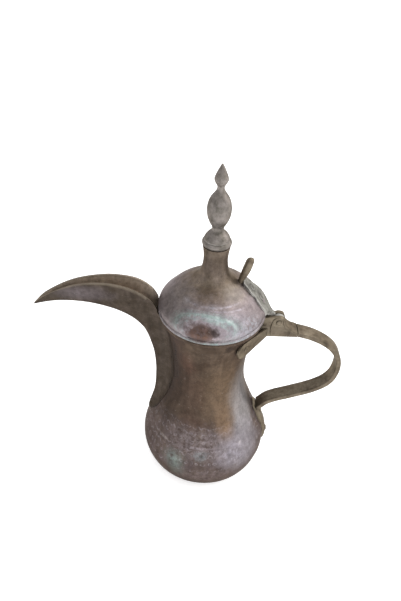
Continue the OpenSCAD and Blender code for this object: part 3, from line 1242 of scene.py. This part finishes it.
    def leaf(self) -> Piece:
        """Loft the leaf plate down the belly, thinner towards its edges."""
        body = PotBody.outside()
        outline = curve(self.leaf_half, 6)
        sections = []
        for half, z in outline:
            r = lookup(body, z)
            shares = [-1 + 2 * i / 14 for i in range(15)]
            outer, inner = [], []
            end = min(1.0, (z - 12.6) / 2.5, (64.9 - z) / 1.6)
            for share in shares:
                y = half * share
                thick = self.leaf_thick * (0.62 + 0.38 * (1 - abs(share) ** 5)) * (0.5 + 0.5 * end)
                outer.append((math.sqrt((r + thick) ** 2 - y * y), y, z))
                inner.append((math.sqrt((r + 0.06) ** 2 - y * y), y, z))
            sections.append(outer + inner[::-1])
        leaf = lofted("handle_leaf_plate", sections)
        dented(leaf, 5, 0.08)
        return leaf

    def arm(self, side: int) -> Piece:
        """Model one arm of the clasp.

        Args:
            side: -1 for the near arm, 1 for the far one.

        Returns:
            The arm, cut to the neck and to the bracket's cheek.
        """
        outline = [(-2 + 7.5 * math.cos(t), 155.9 + 7.5 * math.sin(t))
                   for t in (math.pi * (0.5 + i / 20) for i in range(21))]
        outline += [(12, 150.7), (27, 152.9), (27, 161.6), (12, 162.6)]
        turn = Matrix.Rotation(math.radians(side * self.arm_turn), 4, "Z")
        sections = [[tuple(turn @ Vector((x, -side * v, z))) for v, z in outline]
                    for x in (self.arm_face - self.arm_thick, self.arm_face)]
        arm = lofted(f"clasp_arm_{'near' if side < 0 else 'far'}", sections)
        softened(arm, 0.55, 3)
        dented(arm, 4, 0.07)
        cut(arm, PotBody.solid())
        with editing(arm):
            bpy.ops.mesh.select_all(action="SELECT")
            bpy.ops.mesh.bisect(plane_co=(0, side * (self.width / 2 + 0.05) * MM, 0),
                                plane_no=(0, side, 0), clear_inner=True, use_fill=True)
        return arm

    def rivets(self) -> Made:
        """Turn the rivets of the leaf and of the clasp, and the hinge pin."""
        body = PotBody.outside()
        low = [Rivet(2.9, 3.1 if z < 45 else 2.85).build(
            f"leaf_rivet_{i}", set_on(lookup(body, z), 0, z, 90 - tilt))
            for i, (z, tilt) in enumerate(((27, 0), (52, 24)))]
        r = lookup(body, 156)
        high = []
        for side in (-1, 1):
            turn = math.radians(side * self.arm_turn)
            high.append(Rivet(2.7, self.arm_face - r).build(
                f"clasp_rivet_{side}",
                set_on(r * math.cos(turn), r * math.sin(turn), 156, 90, side * self.arm_turn)))
        ends = [(0, 5.85), (1.3, 5.8), (2.2, 5.5), (2.5, 5.1), (2.5, 4.85), (1.6, 4.8)]
        pin = turned("hinge_pin_rod", [*ends, *((r, -z) for r, z in reversed(ends))], 32)
        moved(pin, across(*HINGE))
        return [(joined("leaf_rivet_pair", low), "leaf_rivets"),
                (joined("clasp_rivet_pair", high), "clasp_rivets"), (pin, "hinge_pin")]

    def build(self) -> Made:
        """Model every piece of the handle."""
        return [(self.strap(), "handle_strap"), (self.bracket(), "handle_bracket"),
                (self.leaf(), "handle_leaf"), (self.arm(-1), "clasp_near"),
                (self.arm(1), "clasp_far"), *self.rivets()]


@dataclass
class Lid(SubAssembly):
    """The domed lid with its rolled bead, seat and drawn-up neck.

    Attributes:
        dome: Outside of the dome, from the bead up, (radius, height).
        neck: Outside of the neck.
        sheet: Sheet thickness.
        bead: Middle and radius of the bead's section.
        grooves: Engraved rings round the dome: height, width and depth.
    """

    dome: tuple[Point, ...] = (
        (42.5, 177.9), (43.1, 181.5), (41.6, 185), (38.7, 188.4), (32.7, 195),
        (25.6, 200.6), (19.4, 204.2), (15.2, 207.6))
    neck: tuple[Point, ...] = (
        (15.15, 207.65), (12.3, 211), (10.6, 215), (9.5, 221), (9.3, 227), (9.9, 232.6),
        (10.5, 236.4))
    sheet: float = 1.2
    bead: Point = (41.65, 176.1, 1.75)
    grooves: tuple[Point, ...] = ((198.7, 0.6, 0.14), (196.4, 0.55, 0.12))
    BODY = Body.LID
    WORN = False

    def build(self) -> Made:
        """Model the lid's turned pieces."""
        line = evened(curve(self.dome, 8), 0.62)
        inner = evened(beside(line, self.sheet), 2.5)
        dome = turned("lid_dome_shell", [*line, *reversed(inner)], 320, shut=True)
        self.chase(dome)
        dented(dome, 17, 0.16)
        angle = [math.tau * i / 20 for i in range(20)]
        r, z, size = self.bead
        bead = turned("lid_bead_wire", [(r + size * math.cos(a), z + size * math.sin(a))
                                        for a in angle], 240, shut=True)
        seat = turned("lid_seat_ring", [
            (35.8, 170.7), (36.1, 170.6), (36.6, 170.6), (36.8, 170.9), (36.8, 174.3),
            (37.2, 174.75), (39.8, 175), (39.8, 176.4), (36.6, 176.1), (35.8, 175.4)],
            200, shut=True)
        outer = evened(curve(self.neck, 8), 0.9)
        wall = evened(beside(curve(self.neck, 8), self.sheet), 2.5)
        neck = turned("lid_neck_sleeve", [*outer, *reversed(wall)], 120, shut=True)
        dented(neck, 12, 0.08)
        return [(dome, "lid_dome"), (bead, "lid_bead"), (seat, "lid_seat"), (neck, "lid_neck")]

    def chase(self, dome: Piece) -> None:
        """Sink the engraved rings and the oval cartouche into the dome.

        Args:
            dome: The dome's shell.
        """
        oval = Cartouche()
        turn = math.radians(oval.bearing)
        outer = curve(self.dome, 8)
        sunk, raised = [], []
        for vertex in dome.data.vertices:
            p = vertex.co / MM
            r = math.hypot(p.x, p.y)
            if r < lookup(outer, p.z) - 0.5:
                sunk.append(0.0)
                raised.append(0.0)
                continue
            ring = max(depth * math.exp(-((p.z - z) / width) ** 2 * 2)
                       for z, width, depth in self.grooves)
            u = (-math.sin(turn) * p.x + math.cos(turn) * p.y) / oval.half_width
            front = math.cos(turn) * p.x + math.sin(turn) * p.y
            away = math.hypot(u, (p.z - oval.height) / oval.half_height) if front > 0 else 9.0
            frame_line = 0.3 * max(math.exp(-((away - 1.0) / 0.05) ** 2),
                                   math.exp(-((away - 0.78) / 0.05) ** 2))
            sunk.append(min(1.0, max(ring, frame_line) / 0.4))
            raised.append(max(0.0, math.exp(-((away - 0.89) / 0.07) ** 2),
                              0.8 * max(0.0, 1 - (away / 0.55) ** 4)))
        grouped(dome, "sunk", sunk)
        grouped(dome, "raised", raised)
        apply(dome, "DISPLACE", strength=-0.4 * MM, mid_level=0, vertex_group="sunk")
        apply(dome, "DISPLACE", strength=0.28 * MM, mid_level=0, vertex_group="raised")
        dome.vertex_groups.clear()


@dataclass
class Finial(SubAssembly):
    """The turned finial on its collar.

    Attributes:
        line: Outside of the finial, (radius, height).
        collar: Middle and radius of the collar's section.
    """

    line: tuple[Point, ...] = (
        (9.8, 241.6), (9.2, 243.6), (7.3, 246.4), (4.9, 248.8), (4.4, 250.8), (4.8, 252.8),
        (6.5, 255.8), (8.3, 260.6), (8.9, 266.2), (8.1, 271.6), (6.4, 275.6), (4.3, 278.6),
        (2.8, 281.2), (2.8, 283.8), (4.2, 286.4), (5, 289), (4, 292.4), (2.2, 296.4),
        (0.5, 299.7), (0, 300))
    collar: Point = (8.6, 239, 2.5)
    BODY = Body.LID

    def build(self) -> Made:
        """Turn the finial and its collar."""
        outer = evened(curve(self.line, 6), 0.6)
        outer[-1] = (0.0, 300.0)
        finial = turned("finial_turning", [(0, 246), (2.25, 246), (2.25, 241.6), *outer], 112)
        dented(finial, 5, 0.09)
        r, z, size = self.collar
        bend = [(r + size * math.cos(math.radians(a)), z + size * math.sin(math.radians(a)))
                for a in range(-75, 91, 11)]
        collar = turned("finial_collar", [(4, 236.5), *bend, (4, 241.45)], 112, shut=True)
        dented(collar, 6, 0.06)
        return [(finial, "finial"), (collar, "collar_ring")]


@dataclass
class HingeStrap(SubAssembly):
    """The scalloped cast hinge strap with its knuckle and rivets.

    Attributes:
        top: Top of the strap along its length, (x, z).
        half: Half width along its length, (x, half width).
        tail: Half width of the tail and knuckle.
        knuckle: Radius of the knuckle.
        rivets: Places of the rivets and how much strap they clamp, (x, z, grip).
        tilt: Lean of the rivets, in degrees.
        root: Where the knuckle's narrow part begins, along X.
        hollow: Radius and depth of the hollow hammered round each rivet.
    """

    top: tuple[Point, ...] = (
        (22.9, 205.35), (28, 201.2), (34, 194.6), (40, 187.6), (45.2, 181.2), (50.4, 174.8),
        (54, 172.1))
    half: tuple[tuple[Point, ...], ...] = (
        ((22.9, 4.4), (26, 6.6), (29, 8.6), (31.6, 8.4)),
        ((31.6, 8.4), (34, 10.6), (38, 12.2), (41.6, 11.8), (44, 9)),
        ((44, 9), (45.8, 6.2), (46.6, 3.4), (48.6, 1.7)))
    tail: float = 1.7
    knuckle: float = 5
    rivets: tuple[Point, ...] = ((29.6, 197.7, 0.7), (38, 188.5, 0.4))
    tilt: float = 46
    root: float = 48.6
    hollow: Point = (3.8, 0.72)
    BODY = Body.LID
    SLOT = Slot.CAST
    CRISP = 38.0

    def strap(self) -> Piece:
        """Loft the scalloped strap over the dome and weld the knuckle to it."""
        top = curve(self.top, 6)
        half = [p for part in self.half for p in curve(part, 5)]
        dome = [p for p in curve(Lid().dome, 8) if p[1] > 181.4]
        sections = []
        for x in (self.top[0][0] + 0.75 * i for i in range(39)):
            wide = max(lookup(half, x, 0, 1), self.tail) if x < self.root else self.tail
            high = lookup(top, x, 0, 1)
            rows: Line = []
            for i in range(13):
                share = -1 + i / 6
                y = wide * share
                r = math.hypot(x, y)
                # clear of the bead past the dome's edge, and on the dome before it
                if x > 43.8:
                    low = max(170.2, 179.5 - (x - 43.8) * 1.75)
                elif r > 43.0:
                    low = 179.7
                else:
                    low = max(179.7, lookup(dome, r, 0, 1) + 0.08)
                rows.append((x, y, min(low, high - 0.6)))
            crown = [(x, wide * s, high - drop) for s, drop in (
                (1.0, 1.1), (0.97, 0.45), (0.9, 0.12), (0.72, 0.0), (0.45, -0.05), (0.2, -0.08),
                (-0.2, -0.08), (-0.45, -0.05), (-0.72, 0.0), (-0.9, 0.12), (-0.97, 0.45),
                (-1.0, 1.1))]
            sections.append(rows + crown)
        strap = lofted("hinge_strap_casting", sections)
        # lumpy as cast, with a hollow hammered round each rivet
        radius, depth = self.hollow
        weights = []
        for vertex in strap.data.vertices:
            p = vertex.co / MM
            near = min(math.dist((p.x, p.y * 0.8), (rx + 1, 0)) for rx, *_ in self.rivets)
            on_top = p.z > lookup(top, p.x, 0, 1) - 0.5 and p.x < 46
            weights.append(math.exp(-(near / radius) ** 4) if on_top else 0.0)
        grouped(strap, "hollow", weights)
        apply(strap, "DISPLACE", strength=-depth * MM, mid_level=0, vertex_group="hollow")
        strap.vertex_groups.clear()
        grouped(strap, "lumps", [float(v.co.x < 47 * MM) for v in strap.data.vertices])
        dented(strap, 3.2, 0.2, "lumps")
        strap.vertex_groups.clear()
        k, end = self.knuckle, self.tail
        barrel = turned("knuckle", [(0, -end), (k - 0.3, -end), (k, -end + 0.3),
                                    (k, end - 0.3), (k - 0.3, end), (0, end)], 48)
        weld(strap, moved(barrel, across(*HINGE)))
        return bored(strap)

    def build(self) -> Made:
        """Model the strap and its two rivets."""
        pair = [Rivet(2.6, grip, 0.95).build(f"strap_rivet_{i}", set_on(x, 0, z, self.tilt), 1.2)
                for i, (x, z, grip) in enumerate(self.rivets)]
        return [(self.strap(), "hinge_strap"), (joined("strap_rivet_pair", pair), "strap_rivets")]


@dataclass
class ThumbLever(SubAssembly):
    """The upright thumb lever that leans back from the strap.

    Attributes:
        back: The side towards the neck, (x, height).
        face: The side towards the handle, (x, height).
        wide: Half its width, (half width, height).
    """

    back: tuple[Point, ...] = (
        (18.7, 203.6), (18.6, 205), (20.2, 212), (22.1, 219.6), (23.6, 224), (25.9, 225.9))
    face: tuple[Point, ...] = (
        (22.6, 203.6), (23.2, 205.6), (26.7, 213.6), (28.6, 220.6), (28.9, 224.6),
        (26.7, 225.9))
    wide: tuple[Point, ...] = (
        (2.6, 203.6), (2.6, 206), (3.4, 212), (4, 218), (3.4, 223.4), (1.0, 225.9))
    BODY = Body.LID
    SLOT = Slot.BRASS
    CRISP = 38.0

    def build(self) -> Made:
        """Loft the lever, with its stations closer together near its round tip."""
        lines = [curve(line, 5) for line in (self.back, self.face, self.wide)]
        sections = []
        for i in range(30):
            z = 203.6 + 22.3 * (1 - (1 - i / 29) ** 1.6)
            a, b, half = (lookup(line, z) for line in lines)
            sections.append([
                ((a + b) / 2 + (b - a) / 2 * squarer(math.cos(t), 0.7),
                 half * squarer(math.sin(t), 0.8), z)
                for t in (math.tau * j / 24 for j in range(24))])
        lever = lofted("thumb_lever_paddle", sections)
        dented(lever, 4, 0.1)
        return [(lever, "thumb_lever")]


# ---------------------------------------------------------------- stage


@dataclass
class Studio:
    """Camera, pale floor and soft light.

    Attributes:
        eye: The camera's place.
        right: Its right-hand direction.
        up: Its upward direction.
        lens: Its focal length for a 36 mm sensor.
    """

    eye: Point = (-14.454, -331.053, 450.086)
    right: Point = (0.99881, 0.02098, 0.04404)
    up: Point = (-0.04744, 0.62792, 0.77683)
    lens: float = 31.93

    def camera(self) -> None:
        """Set up the camera."""
        data = bpy.data.cameras.new("camera")
        data.lens, data.sensor_width = self.lens, 36
        data.clip_start, data.clip_end = 0.01, 60
        camera = bpy.data.objects.new("camera", data)
        bpy.context.scene.collection.objects.link(camera)
        right, up = Vector(self.right).normalized(), Vector(self.up).normalized()
        back = right.cross(up).normalized()
        matrix = Matrix((right, up, back)).transposed().to_4x4()
        matrix.translation = Vector(self.eye) * MM
        camera.matrix_world = matrix
        bpy.context.scene.camera = camera

    def lamp(self, name: str, place: Point, size: float, power: float, tint: str) -> None:
        """Hang a square soft light that faces the pot.

        Args:
            name: Its name.
            place: Where it hangs.
            size: Its side, in metres.
            power: Its power in watts.
            tint: Its colour, sRGB hex.
        """
        data = bpy.data.lights.new(name, "AREA")
        data.size, data.energy, data.color = size, power, linear(tint)[:3]
        lamp = bpy.data.objects.new(name, data)
        bpy.context.scene.collection.objects.link(lamp)
        lamp.location = Vector(place) * MM
        lamp.rotation_euler = (Vector((0, 0, 130)) - Vector(place)).to_track_quat(
            "-Z", "Y").to_euler()

    def floor(self) -> None:
        """Lay a plain pale floor."""
        deselect()
        bpy.ops.mesh.primitive_plane_add(size=16)
        floor = bpy.context.object
        floor.name = "floor"
        paper = bpy.data.materials.new("matt_white_paper")
        board = Board(paper)
        # lit a little from below, as a light table is, so no shadow shows on it
        board.add("OutputMaterial", board.add("BsdfPrincipled", into={
            "Base Color": linear("#fafafa"), "Roughness": 0.9,
            "Emission Color": linear("#ffffff"), "Emission Strength": 0.5}))
        floor.data.materials.append(paper)

    def sky(self) -> None:
        """Fill the room with white light, brighter from the right and above."""
        world = bpy.data.worlds.new("white_room")
        bpy.context.scene.world = world
        board = Board(world)
        where = board.add("TexCoord").outputs["Generated"]
        side = board.add("VectorMath", where, Vector((0.7, 0.15, 0.7)).normalized(),
                         operation="DOT_PRODUCT")
        level = board.add("MapRange", side, -0.9, 1.0, 0.45, 1.6)
        board.add("OutputWorld", board.add("Background", into={"Strength": level}))

    def build(self) -> None:
        """Set up the whole stage."""
        bpy.context.scene.view_settings.view_transform = "Standard"
        self.camera()
        self.floor()
        self.sky()
        self.lamp("key", (560, 160, 640), 0.9, 3.6, "#fffaf4")
        self.lamp("front", (60, -600, 300), 0.5, 0.6, "#f6f7ff")


# ----------------------------------------------------------------- main


def on(line: Line, bearing: float, height: float) -> Point:
    """Give a point on a turned surface.

    Args:
        line: The surface's profile, (radius, height).
        bearing: The point's bearing, in degrees.
        height: Its height.

    Returns:
        Its place.
    """
    r, turn = lookup(line, height), math.radians(bearing)
    return (r * math.cos(turn), r * math.sin(turn), height)


def main() -> None:
    """Build every piece, and report each one."""
    on_pot = partial(on, PotBody.outside())
    on_lid = partial(on, curve(Lid().dome, 8))
    # sheet copper raised by hammer: brown oxide with a purple bloom, dull sheen
    belly = BellyCopper(
        "hammered_sheet_copper", "#41352d", "#4f433a", "#5f5247", "#817366", patches=(
            # painted reflection: a grey sheen down the right side, where the light from the right
            # reflects
            Patch("#918e8f", on_pot(-34, 84), (13, 15, 40), 0.8, 1.0, 0.25, 9, broken=0.15),
            Patch("#8b878d", on_pot(-48, 48), (20, 20, 22), 0.75, 1.2, 0.4, 9, broken=0.3),
            # painted shade: the left side darker, turned away from the light
            Patch("#352d28", on_pot(-158, 96), (14, 18, 48), 0.75, 1.2, 0.3, 9, broken=0.1),
            Patch("#3c312b", on_pot(-134, 118), (13, 11, 40), 0.6, 1.3, 0.3, 9, broken=0.1),
            # painted reflection: a warm, lighter streak down the centre-right
            Patch("#836c58", on_pot(-64, 77), (8, 8, 21), 0.75, 1.3, 0.4, 7),
            Patch("#6a5846", on_pot(-70, 110), (17, 17, 32), 0.6, 1.2, 0.4),
            # brown where it was heated
            Patch("#5f473e", on_pot(-121, 140), (6, 6, 12), 0.45, 1.3, 0.5),
            Patch("#534239", on_pot(-110, 106), (9, 9, 22), 0.5, 1.3, 0.5),
            Patch("#57443d", on_pot(-108, 76), (11, 11, 7), 0.45, 1.2, 0.6, 5),
            # pale lilac bloom, thickest low on the right
            Patch("#9b959e", on_pot(-63, 46), (15, 15, 13), 0.62, 1.0, 0.7, 4.5, broken=0.95),
            Patch("#8c8283", on_pot(-100, 58), (30, 20, 15), 0.4, 0.9, 0.6, 3.2, broken=1.0),
            Patch("#857774", on_pot(-90, 24), (26, 20, 9), 0.4, 0.9, 0.6, 3.2, broken=1.0),
            Patch("#aca4a9", on_pot(-95, 54.4), (12, 12, 1.1), 0.4, 1.0, 0.6, 3, broken=0.9),
            # verdigris
            Patch("#798984", on_pot(-119, 39), (9, 9, 9), 0.6, 1.3, 0.9, 4, broken=0.8),
            Patch("#5f6e68", on_pot(-116, 29), (8, 8, 9), 0.4, 1.2, 0.7, 5, broken=0.5),
            Patch("#818a8d", on_pot(-93, 47.4), (6.3, 6.3, 4.8), 0.6, 0.8, 0.9, 3, broken=0.7),
            Patch("#3a3836", on_pot(-92.6, 47.4), (1.7, 1.7, 1.4), 0.7, 0.8, 0.5, 3),
            # knocks and scratches, and a dark spot just past the near clasp arm's end
            Patch("#9d958d", on_pot(-137, 52), (7, 7, 1.3), 0.4, 1.2, 0.5, 4, (0, 0, 0), 0.8),
            Patch("#b4aeb0", on_pot(-50, 52), (1.4, 1.4, 8), 0.45, 1.2, 0.4, 4, (0, 25, 0), 0.6),
            Patch("#342c26", on_pot(-67, 163), (4.5, 4.5, 5), 0.8, 0.9, 0.6, 4)))
    # the same sheet drawn up thin over the dome: paler, with lilac lime and verdigris
    lid = LidCopper("domed_sheet_copper", "#5f5449", "#72665a", "#877a70", "#aca194", patches=(
        Patch("#524439", on_lid(-100, 203), (14, 9, 7), 0.6, 1.1, 0.5),
        Patch("#5b544b", on_lid(-150, 192), (16, 20, 14), 0.6, 1.1, 0.4, broken=0.2),
        Patch("#675e5c", on_lid(-30, 186), (16, 20, 12), 0.6, 1.2, 0.3, broken=0.2),
        Patch("#8a847d", on_lid(-45, 203), (9, 9, 6), 0.5, 1.3, 0.3, broken=0.2),
        Patch("#342a24", (0, 0, 222), (13, 13, 15), 0.7, 0.8, 0.3, broken=0.2),
        # lilac lime over the right of the dome, in flecks and smears
        Patch("#87818a", on_lid(-58, 184), (15, 15, 11), 0.55, 0.9, 0.7, 4, broken=0.95),
        Patch("#a19ca0", on_lid(-66, 193.5), (9, 6, 2.4), 0.75, 0.9, 0.7, 3, broken=0.9),
        Patch("#9c979b", on_lid(-91, 198.6), (4.5, 3, 2.2), 0.8, 0.9, 0.9, 2.6, broken=0.95),
        Patch("#8f8a8c", on_lid(-136, 198.4), (4, 4, 2.4), 0.6, 0.9, 0.9, 2.6, broken=0.95),
        Patch("#8d878e", on_lid(-105, 190), (26, 12, 12), 0.45, 0.9, 0.7, 3, broken=1.0),
        Patch("#a0a4ab", on_lid(-50, 182), (16, 16, 10), 0.6, 0.9, 0.7, 2.2, broken=1.0),
        Patch("#a3b6b2", on_lid(-84, 191.6), (9.5, 5, 2.2), 0.6, 0.9, 0.5, 3, (0, 9, 0), 0.6),
        # bare red copper in the cartouche, with a dark spot
        Patch("#4f382d", on_lid(-102, 184), (12, 9, 7.6), 0.85, 0.7, 0.45, 4, broken=0.2),
        Patch("#705341", on_lid(-103, 183.5), (8.5, 8, 5.5), 0.6, 1.0, 0.8, 2.6, broken=0.95),
        Patch("#2f2722", on_lid(-99, 186), (8, 8, 4), 0.6, 1.0, 0.8, 2.6, broken=0.95),
        Patch("#2b2625", on_lid(-87, 185.4), (3.6, 3.6, 3.2), 0.75, 0.9, 0.6, 3, broken=0.3)))
    # seamed and soldered sheet copper: darker brown oxide, a pale dusty lining
    beak = AgedMetal("seamed_sheet_copper", "#393128", "#433b34", "#504741", "#796f63",
                     # painted shade: darker round the beak's tip, where the inside of the far wall
                     # lies in shadow
                     patches=(Patch("#403a31", (-128, 0, 184), (20, 9, 12), 0.5, 1.2, 0.3),
                              # painted light: a paler purple-grey where the light falls along the
                              # near wall's middle
                              Patch("#797177", (-104, -6, 186), (22, 6, 9), 0.5, 1.2, 0.4)),
                     lining="#a7998a")
    # cast and turned copper: an even grey-brown film, in smaller clouds
    turning = AgedMetal("turned_copper", "#615d56", "#78726d", "#87817d", "#a29f9a", mottle=6)
    # sand-cast brass gone olive brown, brighter where the hand polishes it
    brass = AgedMetal("cast_brass", "#534b40", "#6a6053", "#7a7162", "#736a5b", mottle=9,
                      roughness=0.42)
    # white-metal casting, dull and lumpy
    cast = AgedMetal(
        "cast_white_metal", "#61605d", "#807f7a", "#999994", "#acaaa5", mottle=5, roughness=0.5,
        relief=0.09, patches=tuple(
            # darker round each rivet, in the hollows hammered there
            Patch("#4b4a46", place, (4.2, 4.2, 4.2), 0.75, 0.5, 0.3, 3)
            for place in ((30.6, 0, 198.6), (38.8, 0, 189.2))))
    copper, dome, spout, knob, olive, white = (
        metal.material() for metal in (belly, lid, beak, turning, brass, cast))
    Studio().build()
    for maker, metal in ((PotBody(), copper), (Spout(), spout), (Handle(), olive), (Lid(), dome),
                         (Finial(), knob), (HingeStrap(), white), (ThumbLever(), olive)):
        maker.dress(maker.build(), metal)
    for name in ("finial_tang", "tang_washer"):
        node = frame["nodes"][name]
        node.data.materials.clear()
        node.data.materials.append(olive)


if __name__ == "__main__":
    logging.basicConfig(level=logging.INFO, format="%(name)s %(message)s")
    main()
